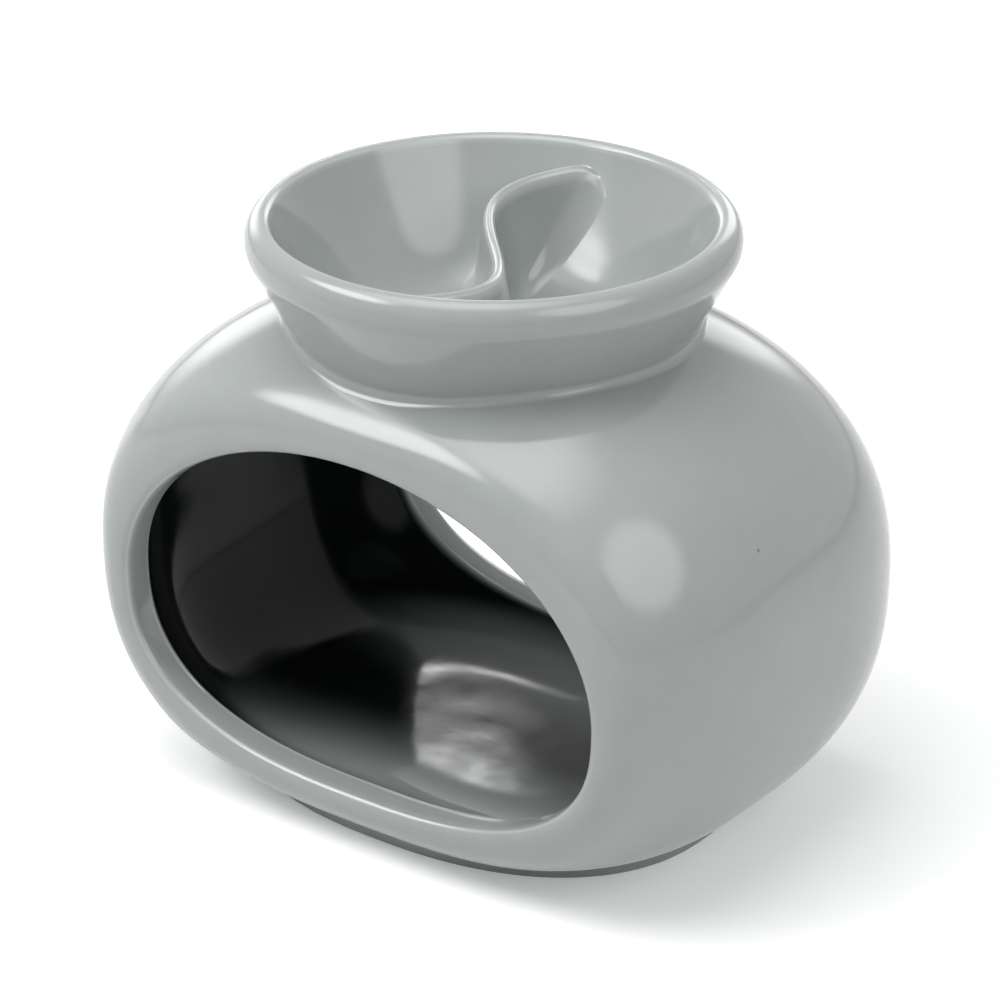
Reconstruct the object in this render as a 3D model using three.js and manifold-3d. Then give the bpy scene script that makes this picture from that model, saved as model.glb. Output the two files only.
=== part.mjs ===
// Glazed ceramic oil and wax burner: a pebble-shaped chamber for a tealight, open at the front and
// the back, with a flared dish on its roof that an S-shaped wall parts in two.
// Millimetres, +Z up. The foot stands on Z = 0, the front opening faces -Y and the pebble is
// longest along X. Where a size has no unit in its comment, it is in millimetres.
import * as THREE from 'three';
import { mergeVertices } from 'three/addons/utils/BufferGeometryUtils.js';
import Module from 'manifold-3d';

const wasm = await Module();
wasm.setup();

// Chamber: the whole pebble, before its front and back are sliced off
const chamberHalfWidth = 66.5;
const chamberHalfDepth = 55.6;
const waistHeight = 42.4; // height of the widest level
const crownRise = 50.0; // from the waist to the top of the whole pebble
const bellyDrop = 48.6; // from the waist to the bottom of the whole pebble
const planFullness = 2.8; // superellipse exponents: 2 is an ellipse, more is fuller
const crownFullness = 2.17;
const bellyFullness = 2.49;
const chamberWall = 5.0;

// Openings in the sliced front and back
const faceDepth = 41.0; // from the middle of the chamber to each opening's face
const lipWidth = 5.5; // from the outline of the sliced face to the opening's edge
const openingSag = 3.1; // how far the middle of the opening lies below the waist
const archFullness = 2.02; // upper half of the opening
const sillFullness = 2.54; // lower half of the opening
const lipOuterRound = 3.6;
const lipInnerRound = 2.2;
const lipDepth = 6.0; // how far the opening is cut straight back, to the edge behind the lip
const lipFlare = 6.0; // exponent: how late the inside narrows towards that edge

// Floor and foot
const floorHeight = 6.0;
const floorBlend = 5.0; // reach of the soft hollow between the floor or roof and the walls
const footHalfWidth = 45.4;
const footHalfDepth = 33.6;
const footFullness = 2.5;
const footRise = 3.0; // height of the foot below the pebble
const footRingWidth = 5.5;
const footRecess = 1.2; // depth of the hollow underside inside the foot ring
const footChamfer = 0.5;

// Dish
const neckRadius = 33.5; // where the dish's outer wall leaves the chamber
const dishHeight = 21.1; // from the neck to the top of the rim
const rimRadius = 42.0;
const rimRoll = 3.0; // radius of the rim's outer roll
const rimInnerRound = 1.3;
const dishWall = 4.5; // thickness at the rim, measured level
const bowlDepth = 25.5; // from the top of the rim to the bowl's floor
const bowlRound = 16.0; // radius of the hollow between the bowl's wall and floor
const dishBase = 4.5; // thickness of the dish under the bowl's floor

// Seat of the dish in the chamber's roof, and the slip that fills the groove round it
const seatDepth = 3.4; // from the neck down to the landing that carries the dish
const landingWidth = 3.3;
const roofUnderLanding = 4.0;
const grooveWidth = 3.3; // from the neck out to the edge of the groove
const slipClimb = 2.5; // how far the slip's fillet climbs the dish's wall
const slipEdge = 0.35; // blunt edge of the slip
const fitGap = 0.3; // clearance between neighbouring clay pieces

// Wall that parts the dish
const dividerSwing = 11.8; // how far the S swings to each side
const dividerWave = 80.0; // length of one full wave of the S
const dividerBelowRim = 5.0;
const dividerEndRise = 2.8; // how much higher the wall's two ends are
const dividerSweep = 1.5; // exponent of the crest's climb to its ends: more climbs later
const dividerCrest = 1.35; // radius of its rounded top edge
const dividerDraft = THREE.MathUtils.degToRad(8.5);
const dividerFillet = 3.0; // radius of the hollow where the wall grows out of the bowl
const dividerTopFillet = 0.8; // the same radius at the crest

// Facets
const chamberSides = 72;
const latheSides = 72;
const dividerSteps = 40;

// Levels and radii that follow from the sizes above
const tunnelHeight = waistHeight - openingSag;
const neckHeight = pebbleHeight(0, neckRadius);
const dishTop = neckHeight + dishHeight;
const landingHeight = neckHeight - seatDepth;
const ceilingHeight = landingHeight - roofUnderLanding;
const bowlFloorHeight = dishTop - bowlDepth;
const rollRadius = rimRadius - rimRoll;
const rollHeight = dishTop - rimRoll;
const wallLean = outerWallLean();
const seatRadius = outerWallRadius(landingHeight);
const boreRadius = seatRadius - landingWidth;
const grooveRadius = neckRadius + grooveWidth;

// The pebble is every point where its plan superellipse, shrunk with height, is met.
// This is the share of the full plan size that is left at a height.
function planShare(height) {
  const above = height > waistHeight;
  const reach = above ? crownRise : bellyDrop;
  const power = above ? crownFullness : bellyFullness;
  const climb = Math.abs(height - waistHeight) / reach;
  return climb < 1 ? (1 - climb ** power) ** (1 / power) : 0;
}

// Height of the pebble's upper surface above a point of the plan
function pebbleHeight(x, y) {
  const plan = (Math.abs(x) / chamberHalfWidth) ** planFullness
    + (Math.abs(y) / chamberHalfDepth) ** planFullness;
  const share = plan ** (1 / planFullness);
  return waistHeight + crownRise * (1 - share ** crownFullness) ** (1 / crownFullness);
}

function insidePebble(x, y, z) {
  const plan = (Math.abs(x) / chamberHalfWidth) ** planFullness
    + (Math.abs(y) / chamberHalfDepth) ** planFullness;
  return plan < planShare(z) ** planFullness;
}

// Length of the ray from the tunnel's middle line, level with depth y, to the pebble's surface
function pebbleReach(y, angle) {
  let near = 0;
  let far = chamberHalfWidth + crownRise;
  for (let halving = 0; halving < 40; halving += 1) {
    const middle = (near + far) / 2;
    const x = middle * Math.cos(angle);
    const z = tunnelHeight + middle * Math.sin(angle);
    if (insidePebble(x, y, z)) near = middle;
    else far = middle;
  }
  return near;
}

// Length of the same ray up or down to a level plane
function planeReach(height, angle) {
  const rise = (height - tunnelHeight) / Math.sin(angle);
  return rise > 0 ? rise : Infinity;
}

// Smaller of two lengths, with a soft hollow of the given reach where they are alike
function softMin(a, b, blend) {
  if (!Number.isFinite(b)) return a;
  const overlap = Math.max(blend - Math.abs(a - b), 0) / blend;
  return Math.min(a, b) - overlap * overlap * blend / 4;
}

// Opening: a full arch over a squarer sill, a lip's width inside the outline of the sliced face
function openingReach(angle) {
  const up = Math.sin(angle) > 0;
  const halfWidth = pebbleReach(faceDepth, 0) - lipWidth;
  const halfHeight = pebbleReach(faceDepth, up ? Math.PI / 2 : -Math.PI / 2) - lipWidth;
  const power = up ? archFullness : sillFullness;
  const across = (Math.abs(Math.cos(angle)) / halfWidth) ** power;
  const upright = (Math.abs(Math.sin(angle)) / halfHeight) ** power;
  return (across + upright) ** (-1 / power);
}

// Hollow of the chamber: a wall's thickness inside the pebble, narrowing to the edge behind each
// lip, with a level floor and a level roof round the dish's seat
function hollowReach(y, angle) {
  const whole = pebbleReach(y, angle);
  const towardsEdge = Math.min(Math.abs(y) / (faceDepth - lipDepth), 1) ** lipFlare;
  const shell = THREE.MathUtils.lerp(whole - chamberWall, openingReach(angle), towardsEdge);
  const floor = softMin(shell, planeReach(floorHeight, Math.min(angle, 0)), floorBlend);
  return softMin(floor, planeReach(ceilingHeight, Math.max(angle, 0)), floorBlend);
}

// One rounded corner as a quadratic curve, from the first step after its start to its end
function cornerSteps(start, corner, end, steps) {
  const curve = new THREE.QuadraticBezierCurve(start, corner, end);
  return curve.getPoints(steps).slice(1);
}

// Section through the chamber's wall along one ray: x is the distance from the tunnel's middle
// line and y the depth. It runs along the outside from the middle to the front, round the lip
// and straight back to the edge behind it, and returns inside.
function wallSection(angle) {
  const outsideSteps = 8;
  const insideSteps = 6;
  const outerEdge = faceDepth - lipOuterRound;
  const innerEdge = faceDepth - lipDepth;
  const lipOuter = pebbleReach(faceDepth, angle);
  const lipInner = openingReach(angle);
  const front = [];
  for (let step = 0; step <= outsideSteps; step += 1) {
    const y = outerEdge * Math.sin(step / outsideSteps * Math.PI / 2);
    front.push(new THREE.Vector2(pebbleReach(y, angle), y));
  }
  const crown = new THREE.Vector2(lipInner + lipInnerRound, faceDepth);
  front.push(...cornerSteps(front.at(-1), new THREE.Vector2(lipOuter, faceDepth), crown, 4));
  const cutStart = new THREE.Vector2(lipInner, faceDepth - lipInnerRound);
  front.push(...cornerSteps(crown, new THREE.Vector2(lipInner, faceDepth), cutStart, 3));
  for (let step = insideSteps; step >= 0; step -= 1) {
    const y = innerEdge * Math.sin(step / insideSteps * Math.PI / 2);
    front.push(new THREE.Vector2(hollowReach(y, angle), y));
  }
  const back = front.slice(1, -1).map((point) => new THREE.Vector2(point.x, -point.y));
  return [...front, ...back.reverse()];
}

// Closed surface through rings of points. Each ring has the same number of points, and both the
// rings and the points of a ring close on themselves, unless capped ends are asked for.
function loftGeometry(rings, cappedEnds) {
  const size = rings[0].length;
  const positions = rings.flat().flatMap((point) => [point.x, point.y, point.z]);
  const faces = [];
  const lastRing = cappedEnds ? rings.length - 1 : rings.length;
  for (let ring = 0; ring < lastRing; ring += 1) {
    const next = (ring + 1) % rings.length;
    for (let i = 0; i < size; i += 1) {
      const j = (i + 1) % size;
      const [a, b, c, d] = [ring * size + i, ring * size + j, next * size + j, next * size + i];
      faces.push(a, b, c, a, c, d);
    }
  }
  if (cappedEnds) {
    for (let i = 1; i < size - 1; i += 1) {
      const end = lastRing * size;
      faces.push(0, i + 1, i, end, end + i, end + i + 1);
    }
  }
  const geometry = new THREE.BufferGeometry();
  geometry.setAttribute('position', new THREE.Float32BufferAttribute(positions, 3));
  geometry.setIndex(faces);
  return geometry;
}

// Closed geometry as a solid that can be joined and cut
function solidOf(geometry) {
  const bare = geometry.clone();
  bare.deleteAttribute('normal');
  bare.deleteAttribute('uv');
  const merged = mergeVertices(bare, 1e-4);
  return new wasm.Manifold(new wasm.Mesh({
    numProp: 3,
    vertProperties: new Float32Array(merged.attributes.position.array),
    triVerts: new Uint32Array(merged.index.array),
  }));
}

function geometryOf(solid) {
  const mesh = solid.getMesh();
  const geometry = new THREE.BufferGeometry();
  geometry.setAttribute('position', new THREE.BufferAttribute(mesh.vertProperties, 3));
  geometry.setIndex(new THREE.BufferAttribute(mesh.triVerts, 1));
  return geometry;
}

// Solid turned about the Z axis, from [radius, height] points that start and end on the axis
function turned(profile) {
  const points = profile.map(([radius, height]) => new THREE.Vector2(radius, height));
  return new THREE.LatheGeometry(points, latheSides).rotateX(Math.PI / 2);
}

function disc(radius, low, high) {
  return turned([[0, low], [radius, low], [radius, high], [0, high]]);
}

// Points of an arc in a turned profile, with its angles in radians from the outward direction
function arc(radius, height, round, from, to, steps) {
  const points = [];
  for (let step = 0; step <= steps; step += 1) {
    const angle = THREE.MathUtils.lerp(from, to, step / steps);
    points.push([radius + round * Math.cos(angle), height + round * Math.sin(angle)]);
  }
  return points;
}

// Oval slab of the foot's outline, drawn in by the given inset
function footSlab(inset, low, high, chamfer) {
  const outline = new THREE.Shape();
  const inward = inset + chamfer;
  for (let side = 0; side < chamberSides; side += 1) {
    const turn = side / chamberSides * 2 * Math.PI;
    const across = Math.sign(Math.cos(turn)) * Math.abs(Math.cos(turn)) ** (2 / footFullness);
    const along = Math.sign(Math.sin(turn)) * Math.abs(Math.sin(turn)) ** (2 / footFullness);
    const x = (footHalfWidth - inward) * across;
    const y = (footHalfDepth - inward) * along;
    if (side === 0) outline.moveTo(x, y);
    else outline.lineTo(x, y);
  }
  const slab = new THREE.ExtrudeGeometry(outline, {
    depth: high - low - 2 * chamfer,
    bevelEnabled: chamfer > 0,
    bevelThickness: chamfer,
    bevelSize: chamfer,
    bevelSegments: 1,
    steps: 1,
  });
  return slab.translate(0, 0, low + chamfer);
}

// Chamber: the lofted shell, cut level where it settled on its foot, with its hollow underside and
// the dish's seat in the roof
function chamberGeometry() {
  const rings = [];
  for (let side = 0; side < chamberSides; side += 1) {
    const angle = (side + 0.5) / chamberSides * 2 * Math.PI - Math.PI;
    rings.push(wallSection(angle).map((point) => new THREE.Vector3(
      point.x * Math.cos(angle),
      point.y,
      tunnelHeight + point.x * Math.sin(angle),
    )));
  }
  const shell = solidOf(loftGeometry(rings, false));
  const below = new THREE.BoxGeometry(2 * chamberHalfWidth, 2 * chamberHalfDepth, bellyDrop);
  const settled = shell.subtract(solidOf(below.translate(0, 0, footRise - bellyDrop / 2)));
  const rootInFloor = (floorHeight - footRise) / 2;
  const foot = solidOf(footSlab(0, 0, footRise + rootInFloor, footChamfer));
  const underside = solidOf(footSlab(footRingWidth, -footRecess, footRecess, 0));
  const bore = solidOf(disc(boreRadius, tunnelHeight, dishTop));
  const groove = solidOf(disc(grooveRadius, landingHeight, dishTop));
  return geometryOf(settled.add(foot).subtract(underside).subtract(bore).subtract(groove));
}

// Lean of the dish's outer wall from upright: straight from the neck to the rim's outer roll
function outerWallLean() {
  const out = rollRadius - neckRadius;
  const up = rollHeight - neckHeight;
  return Math.atan2(out, up) + Math.asin(rimRoll / Math.hypot(out, up));
}

function outerWallRadius(height) {
  return neckRadius + (height - neckHeight) * Math.tan(wallLean);
}

// Inside of the bowl from the top of the rim to the axis, moved into the bowl by a clearance
function bowlProfile(clearance) {
  const edgeRadius = rimRadius - dishWall + rimInnerRound;
  const edgeHeight = dishTop - rimInnerRound;
  const floor = bowlFloorHeight + clearance;
  const round = bowlRound - clearance;
  const wallStart = edgeRadius - (rimInnerRound + clearance) / Math.cos(wallLean);
  const cornerRadius = wallStart - (edgeHeight - floor) * Math.tan(wallLean);
  const hollowRadius = cornerRadius - round * Math.tan((Math.PI / 2 - wallLean) / 2);
  const edge = arc(edgeRadius, edgeHeight, rimInnerRound + clearance, Math.PI / 2, Math.PI - wallLean, 4);
  const hollow = arc(hollowRadius, floor + round, round, -wallLean, -Math.PI / 2, 8);
  return [...edge, ...hollow, [0, floor]];
}

// Dish: rounded base in the roof's bore, shoulder on the landing, leaning wall, rolled rim, bowl
function dishGeometry() {
  const spigotRadius = boreRadius - fitGap;
  const baseHeight = bowlFloorHeight - dishBase;
  const baseRound = bowlRound + dishBase;
  const baseCentre = bowlProfile(0).at(-2)[0];
  const baseEnd = -Math.acos((spigotRadius - baseCentre) / baseRound);
  const base = arc(baseCentre, baseHeight + baseRound, baseRound, -Math.PI / 2, baseEnd, 5);
  const roll = arc(rollRadius, rollHeight, rimRoll, -wallLean, Math.PI / 2, 7);
  return turned([
    [0, baseHeight],
    ...base,
    [spigotRadius, landingHeight],
    [seatRadius, landingHeight],
    ...roll,
    ...bowlProfile(0),
  ]);
}

// Slip in the groove round the dish: it lies on the landing and rises in a hollow fillet from
// the pebble's surface to the dish's wall
function slipGeometry() {
  const rings = [];
  const outer = grooveRadius - fitGap;
  const wallGap = fitGap / Math.cos(wallLean);
  for (let side = 0; side < latheSides; side += 1) {
    const turn = side / latheSides * 2 * Math.PI;
    const [x, y] = [Math.cos(turn), Math.sin(turn)];
    const skin = pebbleHeight(outer * x, outer * y);
    let meeting = neckHeight;
    for (let pass = 0; pass < 12; pass += 1) {
      const radius = outerWallRadius(meeting);
      meeting = pebbleHeight(radius * x, radius * y);
    }
    const top = meeting + slipClimb;
    const corner = new THREE.Vector2(outerWallRadius(meeting) + wallGap, meeting);
    const upper = new THREE.Vector2(outerWallRadius(top) + wallGap + slipEdge, top);
    const fillet = cornerSteps(new THREE.Vector2(outer, skin), corner, upper, 5);
    const section = [
      new THREE.Vector2(seatRadius + wallGap, landingHeight),
      new THREE.Vector2(outer, landingHeight),
      new THREE.Vector2(outer, skin),
      ...fillet,
      new THREE.Vector2(outerWallRadius(top) + wallGap, top),
    ];
    section.reverse();
    rings.push(section.map((point) => new THREE.Vector3(point.x * x, point.x * y, point.y)));
  }
  return loftGeometry(rings, false);
}

// Distance of a point, given by its radius and height, from the bowl's surface
function bowlDistance(radius, height) {
  const profile = bowlProfile(0);
  const centre = profile.at(-2)[0];
  const outward = new THREE.Vector2(radius - centre, bowlFloorHeight + bowlRound - height);
  const turn = Math.atan2(outward.x, outward.y);
  if (turn < 0) return height - bowlFloorHeight;
  if (turn < Math.PI / 2 - wallLean) return bowlRound - outward.length();
  return bowlRound - outward.x * Math.cos(wallLean) - outward.y * Math.sin(wallLean);
}

// Distance of a point from the plain wall, by its offset from the wall's middle and its height
function wallDistance(offset, height, crest) {
  const below = crest - dividerCrest - height;
  const out = Math.abs(offset);
  if (below < -out * Math.tan(dividerDraft)) return Math.hypot(out, below) - dividerCrest;
  return out * Math.cos(dividerDraft) - below * Math.sin(dividerDraft) - dividerCrest;
}

// Height of the wall's surface, joined to the bowl by a hollow that tightens towards the crest
function joinedHeight(radius, offset, crest) {
  let low = bowlFloorHeight - dishBase;
  let high = crest + dividerTopFillet;
  for (let halving = 0; halving < 30; halving += 1) {
    const middle = (low + high) / 2;
    const round = THREE.MathUtils.clamp(dividerTopFillet + crest - middle, dividerTopFillet, dividerFillet);
    const toBowl = bowlDistance(radius, middle);
    const toWall = wallDistance(offset, middle, crest);
    const corner = Math.hypot(Math.max(round - toBowl, 0), Math.max(round - toWall, 0));
    if (Math.max(round, Math.min(toBowl, toWall)) < corner) low = middle;
    else high = middle;
  }
  return low;
}

// Offsets from the wall's middle at which its surface is worked out: the rounded crest, the
// drafted flank and the hollow at its root
function dividerOffsets() {
  const steps = 3;
  const rootWidth = dividerCrest + (dishTop - bowlFloorHeight) * Math.tan(dividerDraft);
  const half = [];
  for (let step = 1; step <= steps; step += 1) {
    half.push(dividerCrest * Math.sin(step / steps * Math.PI / 2));
  }
  for (let step = 1; step <= steps; step += 1) {
    half.push(THREE.MathUtils.lerp(dividerCrest, rootWidth, step / steps));
  }
  for (let step = 1; step <= steps; step += 1) half.push(rootWidth + step / steps * dividerFillet);
  return [...half.map((offset) => -offset).reverse(), 0, ...half];
}

// Divider: a wall on an S of one full wave across the bowl, drafted from its rounded crest and
// joined to the bowl by a hollow round, then cut to the bowl's shape
function dividerGeometry() {
  const reach = rimRadius - dishWall + dividerCrest;
  const wave = 2 * Math.PI / dividerWave;
  const deep = bowlFloorHeight - dishBase;
  const offsets = dividerOffsets();
  const rings = [];
  for (let step = 0; step <= dividerSteps; step += 1) {
    const y = THREE.MathUtils.lerp(-reach, reach, step / dividerSteps);
    const middle = new THREE.Vector2(-dividerSwing * Math.sin(wave * y), y);
    const along = new THREE.Vector2(-dividerSwing * wave * Math.cos(wave * y), 1).normalize();
    const crest = dishTop - dividerBelowRim + dividerEndRise * (Math.abs(y) / reach) ** dividerSweep;
    const ring = offsets.map((offset) => {
      const x = middle.x + along.y * offset;
      const yAcross = middle.y - along.x * offset;
      return new THREE.Vector3(x, yAcross, joinedHeight(Math.hypot(x, yAcross), offset, crest));
    });
    const [left, right] = [ring[0].clone().setZ(deep), ring.at(-1).clone().setZ(deep)];
    rings.push([left, ...ring, right]);
  }
  const wall = solidOf(loftGeometry(rings, true));
  const bowlCore = solidOf(turned(bowlProfile(fitGap).reverse().concat([[0, dishTop + fitGap]])));
  return geometryOf(wall.intersect(bowlCore));
}

// Glaze: one pale grey for every piece, a touch lighter where it runs thin on the edges
function glaze(color, roughness) {
  return new THREE.MeshStandardMaterial({ color, roughness, metalness: 0 });
}

const burner = new THREE.Group();
const pieces = {
  chamber_body: [chamberGeometry(), glaze(0xa3aaa9, 0.12)],
  dish_bowl: [dishGeometry(), glaze(0xa6acab, 0.12)],
  dish_divider: [dividerGeometry(), glaze(0xb0b5b3, 0.14)],
  neck_luting: [slipGeometry(), glaze(0xaeb4b3, 0.14)],
};
for (const [name, [geometry, material]] of Object.entries(pieces)) {
  const mesh = new THREE.Mesh(geometry, material);
  mesh.name = name;
  burner.add(mesh);
}

export default burner;
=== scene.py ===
import math

import bmesh
import bpy
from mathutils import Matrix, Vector

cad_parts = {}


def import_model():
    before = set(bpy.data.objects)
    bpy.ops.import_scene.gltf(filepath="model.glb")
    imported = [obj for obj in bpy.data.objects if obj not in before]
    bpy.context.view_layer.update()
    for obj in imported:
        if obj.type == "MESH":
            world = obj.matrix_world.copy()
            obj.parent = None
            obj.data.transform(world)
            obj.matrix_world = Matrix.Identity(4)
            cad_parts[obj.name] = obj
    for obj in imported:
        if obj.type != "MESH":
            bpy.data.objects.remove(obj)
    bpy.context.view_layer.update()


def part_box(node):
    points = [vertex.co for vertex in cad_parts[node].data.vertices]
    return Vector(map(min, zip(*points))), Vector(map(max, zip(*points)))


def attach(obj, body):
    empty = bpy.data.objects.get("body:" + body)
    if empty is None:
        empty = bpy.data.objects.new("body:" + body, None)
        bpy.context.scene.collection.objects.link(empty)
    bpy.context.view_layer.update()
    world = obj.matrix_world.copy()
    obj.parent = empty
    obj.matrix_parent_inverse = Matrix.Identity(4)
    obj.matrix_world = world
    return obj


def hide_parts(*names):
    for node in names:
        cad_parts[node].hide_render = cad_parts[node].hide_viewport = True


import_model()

# Glazed ceramic oil burner: chamber, foot, dish, divider and the slip round the neck.
# Metres, +Z up, the front opening faces -Y. MM turns a size in millimetres into metres.
MM = 0.001

# Sizes of the pebble-shaped chamber before its front and back are sliced off
chamber_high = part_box("chamber_body")[1]
CHAMBER_HALF_WIDTH = chamber_high[0]
CHAMBER_HALF_DEPTH = 55.6 * MM
WAIST_HEIGHT = 42.4 * MM
CROWN_RISE = 50.0 * MM
BELLY_DROP = 48.6 * MM
PLAN_FULLNESS = 2.8
CROWN_FULLNESS = 2.17
BELLY_FULLNESS = 2.49
CHAMBER_WALL = 5.0 * MM

# Openings, floor and foot
FACE_DEPTH = chamber_high[1]
LIP_WIDTH = 5.5 * MM
OPENING_SAG = 3.1 * MM
ARCH_FULLNESS = 2.02
SILL_FULLNESS = 2.54
LIP_OUTER_ROUND = 4.2 * MM
LIP_INNER_ROUND = 2.2 * MM
LIP_DEPTH = 5.8 * MM
LIP_FLARE = 6.0
LIP_EDGE_ROUND = 1.2 * MM
FLOOR_HEIGHT = 6.0 * MM
FLOOR_BLEND = 5.0 * MM
CEILING_BLEND = 5.0 * MM
FOOT_HALF_WIDTH = 45.8 * MM
FOOT_HALF_DEPTH = 34.6 * MM
FOOT_FULLNESS = 2.35
FOOT_RISE = 3.0 * MM
FOOT_RING_WIDTH = 5.5 * MM
FOOT_RECESS = 1.2 * MM
FOOT_EDGE = 0.6 * MM
UNDERSIDE = 4.2 * MM
TUCK_HEIGHT = 12.0 * MM
TUCK = 0.15

# Dish, taken from its CAD node where the node gives the size
dish_low, dish_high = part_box("dish_bowl")
DISH_TOP = dish_high[2]
DISH_BASE_HEIGHT = dish_low[2]
RIM_RADIUS = 41.97 * MM
NECK_RADIUS = 33.5 * MM
RIM_ROLL = 3.0 * MM
RIM_ROLL_TALL = 4.0 * MM
RIM_INNER_ROUND = 1.5 * MM
DISH_WALL = 4.5 * MM
BOWL_DEPTH = 25.5 * MM
BOWL_ROUND = 16.0 * MM
BOWL_BLEND = 12.0 * MM
DISH_BASE = 4.5 * MM
SEAT_DEPTH = 3.4 * MM
LANDING_WIDTH = 3.3 * MM
ROOF_UNDER_LANDING = 4.0 * MM
FIT_GAP = 0.3 * MM

# Fillet of slip round the neck
SLIP_SPREAD = 1.7 * MM
SLIP_CLIMB = 1.5 * MM
SLIP_RIPPLE = 0.2 * MM

# Divider
DIVIDER_SWING = 11.8 * MM
DIVIDER_WAVE = 80.0 * MM
DIVIDER_BELOW_RIM = 5.0 * MM
DIVIDER_END_RISE = 2.8 * MM
DIVIDER_SWEEP = 1.5
DIVIDER_END = 36.0 * MM
DIVIDER_SHOULDER = 3.6 * MM
DIVIDER_CREST = 1.0 * MM
DIVIDER_DRAFT = math.radians(8.5)
DIVIDER_FILLET = 3.0 * MM
DIVIDER_TOP_FILLET = 0.6 * MM

# A fillet's feather edges lie this far under the surfaces that they run out on
FEATHER = 0.02 * MM

# Rounds of the searches for the place where a line meets a curved surface
REACH_HALVINGS = 44
SURFACE_HALVINGS = 26
MEETING_ROUNDS = 20

# A ray that climbs less than this runs level, and points nearer than this are one
LEVEL = 1e-6
SAME_PLACE = 1e-7

TUNNEL_HEIGHT = WAIST_HEIGHT - OPENING_SAG
BOWL_FLOOR = DISH_TOP - BOWL_DEPTH
ROLL_RADIUS = RIM_RADIUS - RIM_ROLL
ROLL_HEIGHT = DISH_TOP - RIM_ROLL_TALL
ROLL_SQUASH = RIM_ROLL / RIM_ROLL_TALL
CREST_LEVEL = DISH_TOP - DIVIDER_BELOW_RIM


def lerp(a, b, share):
    return a + (b - a) * share


def smooth_step(low, high, value):
    share = min(max((value - low) / (high - low), 0.0), 1.0)
    return share * share * (3.0 - 2.0 * share)


# The pebble: a plan superellipse that shrinks towards the crown and the belly, and tucks in a
# little more just over the foot
def plan_share(height):
    above = height > WAIST_HEIGHT
    reach = CROWN_RISE if above else BELLY_DROP
    power = CROWN_FULLNESS if above else BELLY_FULLNESS
    climb = abs(height - WAIST_HEIGHT) / reach
    tuck = TUCK * (max(TUCK_HEIGHT - height, 0.0) / TUCK_HEIGHT) ** 2
    return (1.0 - climb ** power) ** (1.0 / power) * (1.0 - tuck) if climb < 1.0 else 0.0


def plan_load(x, y):
    across = (abs(x) / CHAMBER_HALF_WIDTH) ** PLAN_FULLNESS
    return across + (abs(y) / CHAMBER_HALF_DEPTH) ** PLAN_FULLNESS


def pebble_height(x, y):
    share = plan_load(x, y) ** (1.0 / PLAN_FULLNESS)
    return WAIST_HEIGHT + CROWN_RISE * (1.0 - share ** CROWN_FULLNESS) ** (1.0 / CROWN_FULLNESS)


def pebble_reach(y, angle):
    """Length of the ray from the tunnel's middle line, level with depth y, to the pebble."""
    near, far = 0.0, CHAMBER_HALF_WIDTH + CROWN_RISE
    for _ in range(REACH_HALVINGS):
        middle = (near + far) / 2.0
        x = middle * math.cos(angle)
        share = plan_share(TUNNEL_HEIGHT + middle * math.sin(angle))
        if plan_load(x, y) < share ** PLAN_FULLNESS:
            near = middle
        else:
            far = middle
    return near


def plane_reach(height, angle):
    """Length of the ray from the tunnel's middle line to a level plane, or None if it misses."""
    slant = math.sin(angle)
    rise = (height - TUNNEL_HEIGHT) / slant if abs(slant) > LEVEL else -1.0
    return rise if rise > 0.0 else None


def soft_min(a, b, blend):
    """The smaller of two lengths, with the change from one to the other rounded off."""
    if b is None:
        return a
    overlap = max(blend - abs(a - b), 0.0) / blend
    return min(a, b) - overlap * overlap * blend / 4.0


FACE_SIDE = pebble_reach(FACE_DEPTH, 0.0)
FACE_UP = pebble_reach(FACE_DEPTH, math.pi / 2.0)
FACE_DOWN = pebble_reach(FACE_DEPTH, -math.pi / 2.0)


def opening_reach(angle):
    """Outline of both openings: a full arch over a squarer sill."""
    up = math.sin(angle) > 0.0
    half_height = (FACE_UP if up else FACE_DOWN) - LIP_WIDTH
    power = ARCH_FULLNESS if up else SILL_FULLNESS
    across = (abs(math.cos(angle)) / (FACE_SIDE - LIP_WIDTH)) ** power
    return (across + (abs(math.sin(angle)) / half_height) ** power) ** (-1.0 / power)


# Dish's outer wall: straight from the neck to the rim's roll
NECK_HEIGHT = pebble_height(0.0, NECK_RADIUS)
WALL_OUT = ROLL_RADIUS - NECK_RADIUS
WALL_UP = (ROLL_HEIGHT - NECK_HEIGHT) * ROLL_SQUASH
ROLL_START = math.atan2(WALL_OUT, WALL_UP) + math.asin(RIM_ROLL / math.hypot(WALL_OUT, WALL_UP))
WALL_LEAN = math.atan(math.tan(ROLL_START) * ROLL_SQUASH)
LANDING_HEIGHT = NECK_HEIGHT - SEAT_DEPTH
CEILING_HEIGHT = LANDING_HEIGHT - ROOF_UNDER_LANDING


def outer_wall_radius(height):
    return NECK_RADIUS + (height - NECK_HEIGHT) * math.tan(WALL_LEAN)


SEAT_RADIUS = outer_wall_radius(LANDING_HEIGHT)
BORE_RADIUS = SEAT_RADIUS - LANDING_WIDTH


def hollow_reach(y, angle):
    """Inside of the chamber, which narrows to the edge behind each lip."""
    towards_edge = min(abs(y) / (FACE_DEPTH - LIP_DEPTH), 1.0) ** LIP_FLARE
    inside = lerp(pebble_reach(y, angle) - CHAMBER_WALL, opening_reach(angle), towards_edge)
    inside = soft_min(inside, plane_reach(FLOOR_HEIGHT, min(angle, 0.0)), FLOOR_BLEND)
    return soft_min(inside, plane_reach(CEILING_HEIGHT, max(angle, 0.0)), CEILING_BLEND)


def corner(start, control, end, steps):
    """Points of a rounded corner after its start: a quadratic curve that leaves along the
    line to the control point and arrives along the line from it."""
    points = []
    for step in range(1, steps + 1):
        t = step / steps
        a = (1.0 - t) * (1.0 - t)
        b = 2.0 * t * (1.0 - t)
        points.append(tuple(a * s + b * c + t * t * e for s, c, e in zip(start, control, end)))
    return points


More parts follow.
